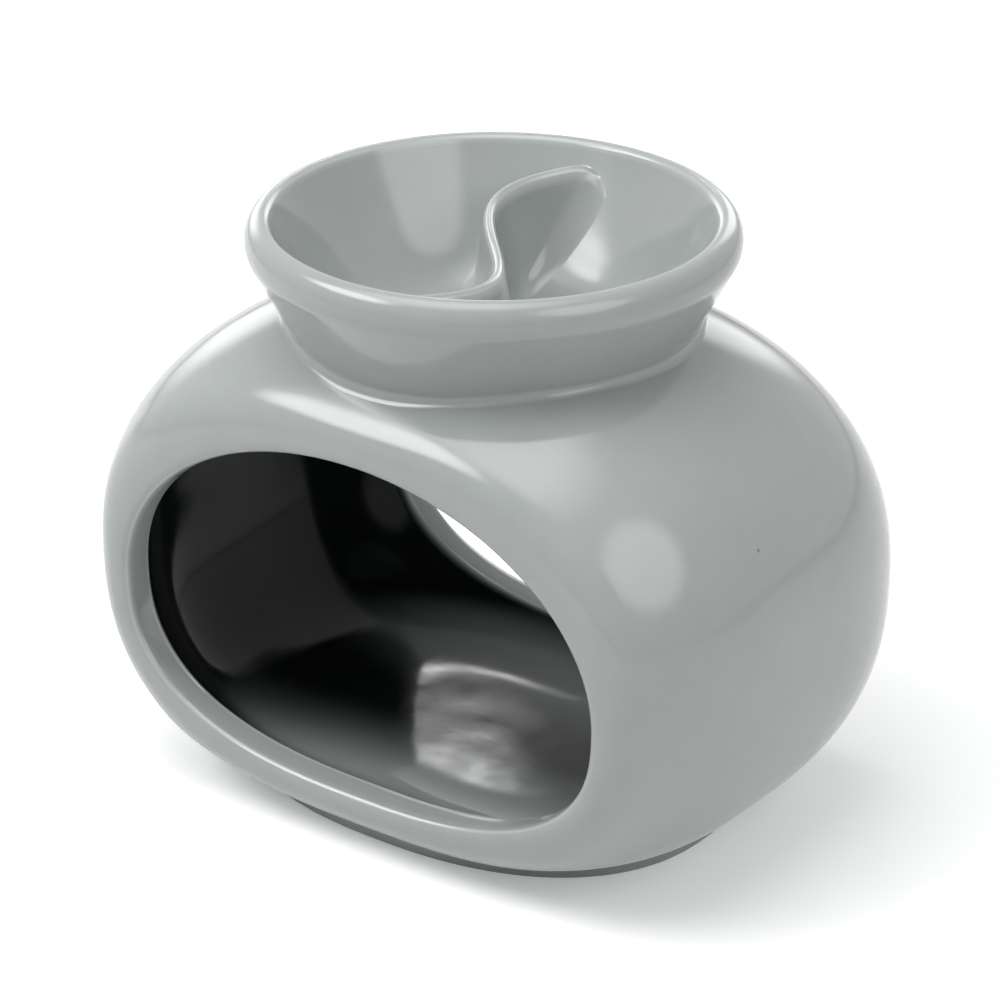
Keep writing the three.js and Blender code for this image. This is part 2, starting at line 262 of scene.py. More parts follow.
def arc(radius, height, round_, start, end, steps):
    """Arc of a turned profile as (radius, height) points."""
    angles = [lerp(start, end, step / steps) for step in range(steps + 1)]
    return [(radius + round_ * math.cos(a), height + round_ * math.sin(a)) for a in angles]


# Meshes: rings of vertices, each extruded from the last and set in its place
def next_ring(mesh, ring):
    edges = [mesh.edges.get((ring[i - 1], ring[i])) for i in range(len(ring))]
    made = bmesh.ops.extrude_edge_only(mesh, edges=edges)["geom"]
    new = {item for item in made if isinstance(item, bmesh.types.BMVert)}
    return [next(e.other_vert(v) for e in v.link_edges if e.other_vert(v) in new) for v in ring]


def face_outwards(mesh):
    bmesh.ops.recalc_face_normals(mesh, faces=mesh.faces)
    if mesh.calc_volume(signed=True) < 0.0:
        bmesh.ops.reverse_faces(mesh, faces=mesh.faces)


def ring_skin(rings, joined):
    """Skin through rings of points. The last ring joins the first, or both ends are filled."""
    mesh = bmesh.new()
    sides = len(rings[0])
    ring = bmesh.ops.create_circle(mesh, segments=sides, radius=1.0)["verts"]
    first = ring
    for index, points in enumerate(rings):
        if index:
            ring = next_ring(mesh, ring)
        for vert, point in zip(ring, points):
            vert.co = point
    ends = [e for e in mesh.edges if len(e.link_faces) < 2]
    if joined:
        bmesh.ops.bridge_loops(mesh, edges=ends)
    else:
        bmesh.ops.contextual_create(mesh, geom=[e for e in ends if e.verts[0] in set(first)])
        bmesh.ops.contextual_create(mesh, geom=[e for e in ends if e.verts[0] in set(ring)])
    face_outwards(mesh)
    return mesh


def turned(profile, steps):
    """Solid of revolution from (radius, height) points that start and end on the axis."""
    mesh = bmesh.new()
    verts = [mesh.verts.new((radius, 0.0, height)) for radius, height in profile]
    edges = [mesh.edges.new(pair) for pair in zip(verts, verts[1:])]
    bmesh.ops.spin(
        mesh, geom=verts + edges, cent=(0.0, 0.0, 0.0), axis=(0.0, 0.0, 1.0),
        dvec=(0.0, 0.0, 0.0), angle=2.0 * math.pi, steps=steps, use_merge=True,
    )
    bmesh.ops.remove_doubles(mesh, verts=mesh.verts, dist=SAME_PLACE)
    face_outwards(mesh)
    return mesh


def piece(name, mesh, thin_and_highlight, shade, material):
    """A finished piece. One rule says how pale the glaze is at a point, where it runs thin and
    where a highlight is painted on, and the other how dark the painted shade inside is there,
    both from 0 to 1."""
    for face in mesh.faces:
        face.smooth = True
    data = bpy.data.meshes.new(name)
    mesh.to_mesh(data)
    mesh.free()
    for label, rule in (("thin_glaze_and_highlight", thin_and_highlight), ("inside_shade", shade)):
        layer = data.attributes.new(label, "FLOAT", "POINT")
        layer.data.foreach_set("value", [rule(v.co) for v in data.vertices])
    data.materials.append(material)
    obj = bpy.data.objects.new(name, data)
    bpy.context.scene.collection.objects.link(obj)
    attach(obj, "root")
    return obj


def no_mark(point):
    return 0.0


# Chamber
CHAMBER_SIDES = 288
OUTSIDE_STEPS = 34
LIP_STEPS = 16
LIP_EDGE_STEPS = 5
INSIDE_STEPS = 26
BORE_SIDES = 144
SLOPE_STEP = 0.2 * MM


def wall_section(angle):
    """Half of the section through the chamber's wall along one ray, from the middle of the
    outside round the lip to the edge behind it and the middle of the inside, as
    (distance, depth) points."""
    outer_edge = FACE_DEPTH - LIP_OUTER_ROUND
    back_edge = FACE_DEPTH - LIP_DEPTH
    lip_inner = opening_reach(angle)
    outside = []
    for step in range(OUTSIDE_STEPS + 1):
        y = outer_edge * math.sin(step / OUTSIDE_STEPS * math.pi / 2.0)
        outside.append((pebble_reach(y, angle), y))
    slope = (outside[-1][0] - pebble_reach(outer_edge - SLOPE_STEP, angle)) / SLOPE_STEP
    lip_corner = (outside[-1][0] + slope * LIP_OUTER_ROUND, FACE_DEPTH)
    crown = (lip_inner + LIP_INNER_ROUND, FACE_DEPTH)
    section = outside + corner(outside[-1], lip_corner, crown, LIP_STEPS)
    cut_start = (lip_inner, FACE_DEPTH - LIP_INNER_ROUND)
    section += corner(crown, (lip_inner, FACE_DEPTH), cut_start, LIP_STEPS)
    cut_end = (lip_inner, back_edge + LIP_EDGE_ROUND)
    section += [((cut_start[0] + cut_end[0]) / 2.0, (cut_start[1] + cut_end[1]) / 2.0), cut_end]
    inside_start = back_edge - LIP_EDGE_ROUND
    inside = (hollow_reach(inside_start, angle), inside_start)
    section += corner(cut_end, (lip_inner, back_edge), inside, LIP_EDGE_STEPS)
    for step in range(INSIDE_STEPS - 1, -1, -1):
        y = inside_start * math.sin(step / INSIDE_STEPS * math.pi / 2.0)
        section.append((hollow_reach(y, angle), y))
    return section


def chamber_rings():
    turns = [(side + 0.5) / CHAMBER_SIDES for side in range(CHAMBER_SIDES)]
    angles = [turn * 2.0 * math.pi - math.pi for turn in turns]
    sections = []
    for angle in angles:
        front = wall_section(angle)
        back = [(reach, -y) for reach, y in front[1:-1]]
        sections.append(front + back[::-1])
    rings = []
    for index in range(len(sections[0])):
        ring = []
        for angle, section in zip(angles, sections):
            reach, y = section[index]
            ring.append((reach * math.cos(angle), -y, TUNNEL_HEIGHT + reach * math.sin(angle)))
        rings.append(ring)
    return rings


def cut(mesh, cutter):
    """Boolean cut of one bmesh by another, as a bmesh."""
    both = []
    for label, part in (("uncut", mesh), ("cutter", cutter)):
        data = bpy.data.meshes.new(label)
        part.to_mesh(data)
        part.free()
        obj = bpy.data.objects.new(label, data)
        bpy.context.scene.collection.objects.link(obj)
        both.append(obj)
    uncut, tool = both
    modifier = uncut.modifiers.new("cut", "BOOLEAN")
    modifier.operation = "DIFFERENCE"
    modifier.solver = "EXACT"
    modifier.object = tool
    bpy.context.view_layer.update()
    whole = uncut.evaluated_get(bpy.context.evaluated_depsgraph_get())
    result = bmesh.new()
    result.from_mesh(whole.to_mesh())
    whole.to_mesh_clear()
    for obj in both:
        data = obj.data
        bpy.data.objects.remove(obj)
        bpy.data.meshes.remove(data)
    return result


def settle(mesh, height):
    """Cuts a mesh level at a height, fills the cut and keeps its edge crisp."""
    geom = mesh.verts[:] + mesh.edges[:] + mesh.faces[:]
    made = bmesh.ops.bisect_plane(
        mesh, geom=geom, dist=SAME_PLACE, clear_outer=True,
        plane_co=(0.0, 0.0, height), plane_no=(0.0, 0.0, -1.0),
    )["geom_cut"]
    rim = [item for item in made if isinstance(item, bmesh.types.BMEdge)]
    bmesh.ops.contextual_create(mesh, geom=rim)
    for edge in rim:
        edge.smooth = False


def opening_ray(point):
    """Angle and length of the ray from the tunnel's middle line to a point."""
    return math.atan2(point.z - TUNNEL_HEIGHT, point.x), math.hypot(point.x, point.z - TUNNEL_HEIGHT)


LIP_GLINT = 0.9 * MM
LIP_CROWN_GLINT = 0.5 * MM
LIP_CROWN_THIN_AND_HIGHLIGHT = 0.3


def lip_thin_glaze_and_highlight(point):
    """Pale lines of thinned glaze and painted highlight: full along the edge behind each lip,
    where the glaze draws back, and fainter along the lip's crown, whose curve passes a quarter
    of its rounding in from the square corner."""
    angle, reach = opening_ray(point)
    across = reach - opening_reach(angle)
    from_edge = math.hypot(across, abs(point.y) - (FACE_DEPTH - LIP_DEPTH))
    crown = LIP_INNER_ROUND / 4.0
    from_crown = math.hypot(across - crown, abs(point.y) - (FACE_DEPTH - crown))
    on_edge = 1.0 - smooth_step(0.0, LIP_GLINT, from_edge)
    on_crown = 1.0 - smooth_step(0.0, LIP_CROWN_GLINT, from_crown)
    return max(on_edge, LIP_CROWN_THIN_AND_HIGHLIGHT * on_crown)


INSIDE_MARGIN = 3.0 * MM
SHADE_LOW = 7.0 * MM
SHADE_HIGH = 12.0 * MM
SHADE_MIDDLE = 6.0 * MM
SHADE_REACH = 50.0 * MM
SHADE_SPREAD = 0.4
SHADE_START = 0.2
SHADE_FULL = 0.8


def chamber_shade(point):
    """Painted shade: the inside is painted dark, and its floor paler towards both openings."""
    behind_edge = FACE_DEPTH - LIP_DEPTH - abs(point.y)
    if behind_edge < 0.0:
        return 0.0
    angle, reach = opening_ray(point)
    if reach > pebble_reach(point.y, angle) - INSIDE_MARGIN:
        return 0.0
    wall = smooth_step(SHADE_LOW, SHADE_HIGH, point.z)
    aside = (point.x - SHADE_MIDDLE) * SHADE_SPREAD
    away = math.hypot(aside, abs(point.y) - FACE_DEPTH) / SHADE_REACH
    floor_shade = smooth_step(SHADE_START, SHADE_FULL, away)
    return smooth_step(0.0, LIP_EDGE_ROUND, behind_edge) * lerp(floor_shade, 1.0, wall)


# Foot
FOOT_EDGE_STEPS = 5


def foot_outline(inset):
    points = []
    for side in range(CHAMBER_SIDES):
        turn = side / CHAMBER_SIDES * 2.0 * math.pi
        across = math.copysign(abs(math.cos(turn)) ** (2.0 / FOOT_FULLNESS), math.cos(turn))
        along = math.copysign(abs(math.sin(turn)) ** (2.0 / FOOT_FULLNESS), math.sin(turn))
        points.append(((FOOT_HALF_WIDTH - inset) * across, (FOOT_HALF_DEPTH - inset) * along))
    return points


def foot_rings():
    """Section of the foot from its root in the chamber's floor, down the outside, across the
    ring that it stands on and up to the shallow hollow of the underside."""
    root = (FLOOR_HEIGHT + UNDERSIDE) / 2.0
    section = [(0.0, root), (0.0, FOOT_RISE), (0.0, FOOT_EDGE)]
    section += corner((0.0, FOOT_EDGE), (0.0, 0.0), (FOOT_EDGE, 0.0), FOOT_EDGE_STEPS)
    section += [(FOOT_RING_WIDTH - FOOT_EDGE, 0.0)]
    inner_edge = (FOOT_RING_WIDTH, FOOT_EDGE)
    section += corner(section[-1], (FOOT_RING_WIDTH, 0.0), inner_edge, FOOT_EDGE_STEPS)
    section += [(FOOT_RING_WIDTH, FOOT_RECESS)]
    return [[(x, y, height) for x, y in foot_outline(inset)] for inset, height in section]


# Dish
# The bowl's inside is one smooth curve from its leaning wall to its level floor
EDGE_RADIUS = RIM_RADIUS - DISH_WALL + RIM_INNER_ROUND
EDGE_HEIGHT = DISH_TOP - RIM_INNER_ROUND
WALL_SLOPE = 1.0 / math.tan(WALL_LEAN)
BOWL_EDGE_RADIUS = EDGE_RADIUS - RIM_INNER_ROUND * math.cos(WALL_LEAN)
BOWL_EDGE_RISE = EDGE_HEIGHT + RIM_INNER_ROUND * math.sin(WALL_LEAN) - BOWL_FLOOR
BOWL_CLIMB = BOWL_EDGE_RISE - BOWL_BLEND ** 2 / (4.0 * BOWL_EDGE_RISE)
BOWL_CORNER = BOWL_EDGE_RADIUS - BOWL_CLIMB / WALL_SLOPE


def bowl_height(radius):
    """Height of the bowl's surface at a radius, carried on upwards past its wall."""
    climb = (radius - BOWL_CORNER) * WALL_SLOPE
    return BOWL_FLOOR + (climb + math.hypot(climb, BOWL_BLEND)) / 2.0


def bowl_radius(height):
    """Radius at which the bowl's surface reaches a height."""
    rise = height - BOWL_FLOOR
    return BOWL_CORNER + (rise - BOWL_BLEND ** 2 / (4.0 * rise)) / WALL_SLOPE


def bowl_distance(radius, height):
    """Distance of a point above the bowl's surface, near that surface."""
    climb = (radius - BOWL_CORNER) * WALL_SLOPE
    slope = WALL_SLOPE / 2.0 * (1.0 + climb / math.hypot(climb, BOWL_BLEND))
    return (height - bowl_height(radius)) / math.hypot(1.0, slope)


BASE_STEPS = 12
ROLL_STEPS = 24
EDGE_STEPS = 10
BOWL_STEPS = 48
DISH_STRETCH = 1.5 * MM
DISH_SIDES = 256


def subdivided(points, longest):
    """The same profile with long straight stretches cut into steps."""
    result = [points[0]]
    for a, b in zip(points, points[1:]):
        steps = max(1, math.ceil(math.dist(a, b) / longest))
        for step in range(1, steps + 1):
            share = step / steps
            result.append((lerp(a[0], b[0], share), lerp(a[1], b[1], share)))
    return result


def dish_profile():
    spigot = BORE_RADIUS - FIT_GAP
    base_round = BOWL_ROUND + DISH_BASE
    base_middle = BOWL_CORNER - BOWL_ROUND * math.tan((math.pi / 2.0 - WALL_LEAN) / 2.0)
    base_end = -math.acos((spigot - base_middle) / base_round)
    base_height = DISH_BASE_HEIGHT + base_round
    up = math.pi / 2.0
    base = arc(base_middle, base_height, base_round, -up, base_end, BASE_STEPS)
    round_roll = arc(ROLL_RADIUS, 0.0, RIM_ROLL, -ROLL_START, up, ROLL_STEPS)
    roll = [(radius, ROLL_HEIGHT + rise / ROLL_SQUASH) for radius, rise in round_roll]
    edge = arc(EDGE_RADIUS, EDGE_HEIGHT, RIM_INNER_ROUND, up, math.pi - WALL_LEAN, EDGE_STEPS)
    bowl = []
    for step in range(BOWL_STEPS - 1, -1, -1):
        radius = BOWL_EDGE_RADIUS * step / BOWL_STEPS
        bowl.append((radius, bowl_height(radius)))
    landing = [(spigot, LANDING_HEIGHT), (SEAT_RADIUS, LANDING_HEIGHT)]
    underside = [(0.0, DISH_BASE_HEIGHT)] + base + landing
    return subdivided(underside + roll + edge + bowl, DISH_STRETCH)


RIM_GLINT = 0.8 * MM
RIM_THIN_AND_HIGHLIGHT = 0.3
RIM_EDGE_IN = RIM_INNER_ROUND * 0.35
RIM_EDGE_DOWN = RIM_INNER_ROUND * 0.4


def rim_thin_glaze_and_highlight(point):
    """The glaze runs thin on the tight inner edge of the rim, and a highlight is painted along it.
    """
    radius = math.hypot(point.x, point.y)
    edge_radius = RIM_RADIUS - DISH_WALL + RIM_EDGE_IN
    away = math.hypot(radius - edge_radius, point.z - (DISH_TOP - RIM_EDGE_DOWN))
    return RIM_THIN_AND_HIGHLIGHT * (1.0 - smooth_step(0.0, RIM_GLINT, away))


# Divider
def wall_distance(offset, height, crest):
    """Distance of a point from the plain wall, by its offset from the wall's middle."""
    out = abs(offset)
    below = crest - DIVIDER_CREST - height
    if below < -out * math.tan(DIVIDER_DRAFT):
        return math.hypot(out, below) - DIVIDER_CREST
    return out * math.cos(DIVIDER_DRAFT) - below * math.sin(DIVIDER_DRAFT) - DIVIDER_CREST


def joined_height(radius, offset, crest):
    """Height of the wall's surface, joined to the bowl by a hollow that tightens to the crest."""
    low = BOWL_FLOOR - DISH_BASE
    high = crest + DIVIDER_TOP_FILLET
    for _ in range(SURFACE_HALVINGS):
        middle = (low + high) / 2.0
        hollow = DIVIDER_TOP_FILLET + max(crest - middle, 0.0)
        hollow = min(hollow, DIVIDER_FILLET)
        to_bowl = bowl_distance(radius, middle)
        to_wall = wall_distance(offset, middle, crest)
        inner = math.hypot(max(hollow - to_bowl, 0.0), max(hollow - to_wall, 0.0))
        if max(hollow, min(to_bowl, to_wall)) < inner:
            low = middle
        else:
            high = middle
    return low


DIVIDER_STEPS = 240
CREST_STEPS = 8
FLANK_STEPS = 14
ROOT_STEPS = 10
DIVIDER_THICKNESS = 1.0 * MM
PROUD_ENOUGH = 0.06 * MM
STEEPEST_SHOULDER = DIVIDER_SHOULDER * 0.98


def divider_offsets():
    """Offsets from the wall's middle: its rounded crest, drafted flank and the hollow below."""
    root = DIVIDER_CREST + BOWL_DEPTH * math.tan(DIVIDER_DRAFT)
    turns = [step / CREST_STEPS * math.pi / 2.0 for step in range(1, CREST_STEPS + 1)]
    half = [DIVIDER_CREST * math.sin(turn) for turn in turns]
    half += [lerp(DIVIDER_CREST, root, step / FLANK_STEPS) for step in range(1, FLANK_STEPS + 1)]
    half += [root + DIVIDER_FILLET * step / ROOT_STEPS for step in range(1, ROOT_STEPS + 1)]
    return [-offset for offset in reversed(half)] + [0.0] + half


def divider_path(y):
    """Middle of the wall in plan and the direction across it."""
    wave = 2.0 * math.pi / DIVIDER_WAVE
    along = Vector((-DIVIDER_SWING * wave * math.cos(wave * y), 1.0)).normalized()
    return Vector((-DIVIDER_SWING * math.sin(wave * y), y)), Vector((along.y, -along.x))


def divider_crest(share, radius):
    """Height of the crest: it rises towards the dish's wall and ends in a round shoulder."""
    past = min(max(radius - DIVIDER_END + DIVIDER_SHOULDER, 0.0), STEEPEST_SHOULDER)
    drop = DIVIDER_SHOULDER - math.sqrt(DIVIDER_SHOULDER ** 2 - past ** 2)
    return CREST_LEVEL + DIVIDER_END_RISE * share ** DIVIDER_SWEEP - drop


def divider_rings():
    """Sections across the wall, from end to end, each with its underside sunk in the bowl."""
    reach = RIM_RADIUS - DISH_WALL + DIVIDER_CREST
    rings = []
    for step in range(DIVIDER_STEPS + 1):
        y = lerp(-reach, reach, step / DIVIDER_STEPS)
        middle, across = divider_path(y)
        crest = divider_crest(abs(y) / reach, middle.length)
        over, under = [], []
        buried = bowl_radius(crest) + DIVIDER_CREST
        for offset in divider_offsets():
            place = middle + across * offset
            place *= min(buried / max(place.length, MM), 1.0)
            ground = bowl_height(place.length)
            height = joined_height(place.length, offset, crest)
            height -= FEATHER * (1.0 - smooth_step(0.0, PROUD_ENOUGH, height - ground))
            over.append((place.x, place.y, height))
            under.append((place.x, place.y, min(ground, height) - DIVIDER_THICKNESS))
        rings.append(over + under[::-1])
    return rings


CREST_LINE = 1.0 * MM
CREST_LINE_WIDTH = 0.45 * MM
CREST_THIN_AND_HIGHLIGHT = 0.6
CREST_GLINT_LEVEL = CREST_LEVEL - DIVIDER_CREST * 1.4


def divider_thin_glaze_and_highlight(point):
    """The glaze runs thin along both edges of the crest, and a highlight is painted along them."""
    middle, across = divider_path(point.y)
    offset = abs((Vector((point.x, point.y)) - middle).dot(across))
    high_up = smooth_step(CREST_GLINT_LEVEL, CREST_LEVEL, point.z)
    on_line = 1.0 - smooth_step(0.0, CREST_LINE_WIDTH, abs(offset - CREST_LINE))
    return CREST_THIN_AND_HIGHLIGHT * high_up * on_line


# Slip round the neck
# Waves of its ripple: how many run round the neck, their share of its height, their start
SLIP_WAVES = ((7.0, 0.5, 0.6), (17.0, 0.3, 0.0))
SLIP_STEPS = 16
SLIP_ROOT = 1.0 * MM
SLIP_TOE_DEPTH = 0.8 * MM


def slip_rings():
    """Fillet between the chamber's roof and the dish's wall, with its back sunk in both."""
    sections = []
    for side in range(CHAMBER_SIDES):
        turn = side / CHAMBER_SIDES * 2.0 * math.pi
        x, y = math.cos(turn), math.sin(turn)
        meeting = NECK_HEIGHT
        for _ in range(MEETING_ROUNDS):
            radius = outer_wall_radius(meeting)
            meeting = pebble_height(radius * x, radius * y)
        waves = sum(share * math.sin(turn * count + start) for count, share, start in SLIP_WAVES)
        ripple = SLIP_RIPPLE * waves
        outer = outer_wall_radius(meeting) + SLIP_SPREAD + ripple
        top = meeting + SLIP_CLIMB + ripple
        toe = (outer, pebble_height(outer * x, outer * y) - FEATHER)
        head = (outer_wall_radius(top) - FEATHER, top)
        control = (outer_wall_radius(meeting), meeting)
        points = [(SEAT_RADIUS - SLIP_ROOT, LANDING_HEIGHT + SLIP_ROOT)]
        points += [(outer, toe[1] - SLIP_TOE_DEPTH), toe]
        points += corner(toe, control, head, SLIP_STEPS)
        points.append((head[0] - SLIP_ROOT, top))
        sections.append([(r * x, r * y, z) for r, z in points])
    return [list(ring) for ring in zip(*sections)]


# Glaze
GLAZE = (0.335, 0.358, 0.347, 1.0)
GLAZE_ON_DISH = (0.34, 0.362, 0.35, 1.0)
GLAZE_ON_DIVIDER = (0.345, 0.367, 0.355, 1.0)
GLAZE_ON_SLIP = (0.345, 0.367, 0.357, 1.0)
GLAZE_COOL = (0.325, 0.351, 0.343, 1.0)
# Pale glaze: the colour of random flecks, and of glaze run thin on tight edges with a painted
# highlight there
GLAZE_PALE_AND_HIGHLIGHT = (0.72, 0.74, 0.72, 1.0)
# Near-black painted shade for the chamber's inside
GLAZE_PAINTED_SHADE = (0.010, 0.012, 0.012, 1.0)
SPECK = (0.16, 0.12, 0.08, 1.0)
SPECK_PLACE = (61.15 * MM, -10.49 * MM, 63.8 * MM)
SPECK_CORE = 0.15 * MM
SPECK_EDGE = 0.45 * MM
SPECK_STRENGTH = 0.8
GLAZE_IOR = 1.52
GLAZE_SPECULAR = 0.5
GLAZE_SMOOTHEST = 0.07
GLAZE_ROUGHEST = 0.13
# Less sheen on the shaded copy of the glaze that carries the painted shade inside the chamber
SHADED_INSIDE_SPECULAR = 0.12

# Patterns in the glaze: their sizes, and how much each one shows
NOISE_LOW = 0.3
NOISE_HIGH = 0.7
CLOUD_SIZE = 30.0 * MM
MOTTLE_SIZE = 5.0 * MM
MOTTLE_HIGH = 0.75
MOTTLE_STRENGTH = 0.03
SWELL_SIZE = 16.0 * MM
SWELL_HEIGHT = 0.35 * MM
SWELL_STRENGTH = 0.5
# Swell of that shaded copy of the glaze inside the chamber
SHADED_INSIDE_SWELL_HEIGHT = 0.2 * MM
PEEL_SIZE = 1.6 * MM
PEEL_HEIGHT = 0.01 * MM
PEEL_STRENGTH = 0.25


class Nodes:
    """Short hand for a material's nodes: add makes a node, sets its values and links inputs."""

    def __init__(self, name):
        self.material = bpy.data.materials.new(name)
        self.material.use_nodes = True
        self.tree = self.material.node_tree
        self.shader = self.tree.nodes["Principled BSDF"]

    def add(self, kind, inputs=None, **values):
        node = self.tree.nodes.new(kind)
        for key, value in values.items():
            setattr(node, key, value)
        for key, value in (inputs or {}).items():
            self.feed(node, key, value)
        return node

    def feed(self, node, key, value):
        if isinstance(value, bpy.types.NodeSocket):
            self.tree.links.new(value, node.inputs[key])
        else:
            node.inputs[key].default_value = value

    def mix(self, factor, a, b):
        node = self.add("ShaderNodeMix", data_type="RGBA")
        self.feed(node, 0, factor)
        self.feed(node, 6, a)
        self.feed(node, 7, b)
        return node.outputs[2]

    def scale(self, value, from_low, from_high, to_low, to_high):
        ends = {"From Min": from_low, "From Max": from_high, "To Min": to_low, "To Max": to_high}
        return self.add("ShaderNodeMapRange", {"Value": value, **ends}).outputs[0]


def glaze_material(name, tint, specular=GLAZE_SPECULAR, swell_height=SWELL_HEIGHT):
    """Glossy glaze with faint clouds and mottle in its colour and sheen, and a skin that swells
    slightly. It turns pale where a piece marks thin glaze with a painted highlight, and near
    black where it marks the painted shade of the inside."""
    nodes = Nodes(name)
    nodes.shader.inputs["Specular IOR Level"].default_value = specular
    place = nodes.add("ShaderNodeTexCoord").outputs["Object"]

    def noise(size, detail):
        inputs = {"Vector": place, "Scale": 1.0 / size, "Detail": detail}
        return nodes.add("ShaderNodeTexNoise", inputs).outputs["Fac"]

    clouds = noise(CLOUD_SIZE, detail=3.0)
    mottle = noise(MOTTLE_SIZE, detail=4.0)
    cool = nodes.scale(clouds, NOISE_LOW, NOISE_HIGH, 0.0, 1.0)
    body = nodes.mix(cool, tint, GLAZE_COOL)
    fleck = nodes.scale(mottle, NOISE_LOW, MOTTLE_HIGH, 0.0, MOTTLE_STRENGTH)
    mottled = nodes.mix(fleck, body, GLAZE_PALE_AND_HIGHLIGHT)
    to_speck = nodes.add("ShaderNodeVectorMath", {0: place, 1: SPECK_PLACE}, operation="DISTANCE")
    distance = to_speck.outputs["Value"]
    spot = nodes.scale(distance, SPECK_CORE, SPECK_EDGE, SPECK_STRENGTH, 0.0)
    specked = nodes.mix(spot, mottled, SPECK)
    # Pale where the glaze runs thin on tight edges, with a painted highlight along them
    thin_and_highlight = nodes.add("ShaderNodeAttribute", attribute_name="thin_glaze_and_highlight").outputs["Fac"]
    # Near black where a piece marks the painted shade of the inside
    painted_shade = nodes.add("ShaderNodeAttribute", attribute_name="inside_shade").outputs["Fac"]
    thinned_and_highlit = nodes.mix(thin_and_highlight, specked, GLAZE_PALE_AND_HIGHLIGHT)
    nodes.feed(nodes.shader, "Base Color", nodes.mix(painted_shade, thinned_and_highlit, GLAZE_PAINTED_SHADE))
    sheen = nodes.scale(mottle, NOISE_LOW, NOISE_HIGH, GLAZE_SMOOTHEST, GLAZE_ROUGHEST)
    nodes.feed(nodes.shader, "Roughness", sheen)
    nodes.shader.inputs["IOR"].default_value = GLAZE_IOR
    swell = noise(SWELL_SIZE, detail=1.0)
    peel = noise(PEEL_SIZE, detail=2.0)
    wave = nodes.add("ShaderNodeBump", {
        "Height": swell, "Strength": SWELL_STRENGTH, "Distance": swell_height,
    })
    skin = nodes.add("ShaderNodeBump", {
        "Height": peel, "Strength": PEEL_STRENGTH, "Distance": PEEL_HEIGHT,
        "Normal": wave.outputs[0],
    })
    nodes.feed(nodes.shader, "Normal", skin.outputs[0])
    return nodes.material


# Pieces
chamber_glaze = glaze_material("chamber_glaze", GLAZE)
dish_glaze = glaze_material("dish_glaze", GLAZE_ON_DISH)
divider_glaze = glaze_material("divider_glaze", GLAZE_ON_DIVIDER)
slip_glaze = glaze_material("slip_glaze", GLAZE_ON_SLIP)

chamber_mesh = ring_skin(chamber_rings(), joined=True)
settle(chamber_mesh, UNDERSIDE)
bore = turned([
    (0.0, TUNNEL_HEIGHT), (BORE_RADIUS, TUNNEL_HEIGHT), (BORE_RADIUS, DISH_TOP), (0.0, DISH_TOP),
], BORE_SIDES)
chamber = piece("chamber", cut(chamber_mesh, bore), lip_thin_glaze_and_highlight, chamber_shade, chamber_glaze)
# Shaded copy of the chamber's glaze for the faces inside, which carry the painted shade
shaded_inside_glaze = glaze_material("shaded_inside_glaze", GLAZE, SHADED_INSIDE_SPECULAR, SHADED_INSIDE_SWELL_HEIGHT)
chamber.data.materials.append(shaded_inside_glaze)
for face in chamber.data.polygons:
    face.material_index = 1 if chamber_shade(face.center) > 0.0 else 0
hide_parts("chamber_body")

foot = piece("foot_ring", ring_skin(foot_rings(), joined=False), no_mark, no_mark, chamber_glaze)

dish = piece("dish", turned(dish_profile(), DISH_SIDES), rim_thin_glaze_and_highlight, no_mark, dish_glaze)
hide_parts("dish_bowl")

divider_mesh = ring_skin(divider_rings(), joined=False)
divider = piece("divider", divider_mesh, divider_thin_glaze_and_highlight, no_mark, divider_glaze)
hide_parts("dish_divider")

slip = piece("neck_slip", ring_skin(slip_rings(), joined=True), no_mark, no_mark, slip_glaze)
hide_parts("neck_luting")


# Studio
def toward(azimuth, elevation, distance):
    """Point at a distance from the middle of the burner, azimuth 0 in front and 90 at +X."""
    a, e = math.radians(azimuth), math.radians(elevation)
    flat = distance * math.cos(e)
    return Vector((flat * math.sin(a), -flat * math.cos(a), distance * math.sin(e)))


CAMERA_AZIMUTH = 36.58
CAMERA_ELEVATION = 25.24
CAMERA_DISTANCE = 689.2 * MM
CAMERA_LENS = 143.2
CAMERA_SENSOR = 36.0
CAMERA_SIDE = 1.04 * MM
CAMERA_AIM = 51.68 * MM


def camera():
    data = bpy.data.cameras.new("camera")
    data.lens = CAMERA_LENS
    data.sensor_width = CAMERA_SENSOR
    obj = bpy.data.objects.new("camera", data)
    bpy.context.scene.collection.objects.link(obj)
    a = math.radians(CAMERA_AZIMUTH)
    aim = Vector((CAMERA_SIDE * math.cos(a), CAMERA_SIDE * math.sin(a), CAMERA_AIM))
    obj.location = aim + toward(CAMERA_AZIMUTH, CAMERA_ELEVATION, CAMERA_DISTANCE)
    obj.rotation_euler = (aim - obj.location).to_track_quat("-Z", "Y").to_euler()
    bpy.context.scene.camera = obj


LAMP_DISTANCE = 1.2
LAMP_MIDDLE = (0.5, 0.5, 0.0)
LAMP_EDGE = 0.5
LAMP_SOFTNESS = 0.12


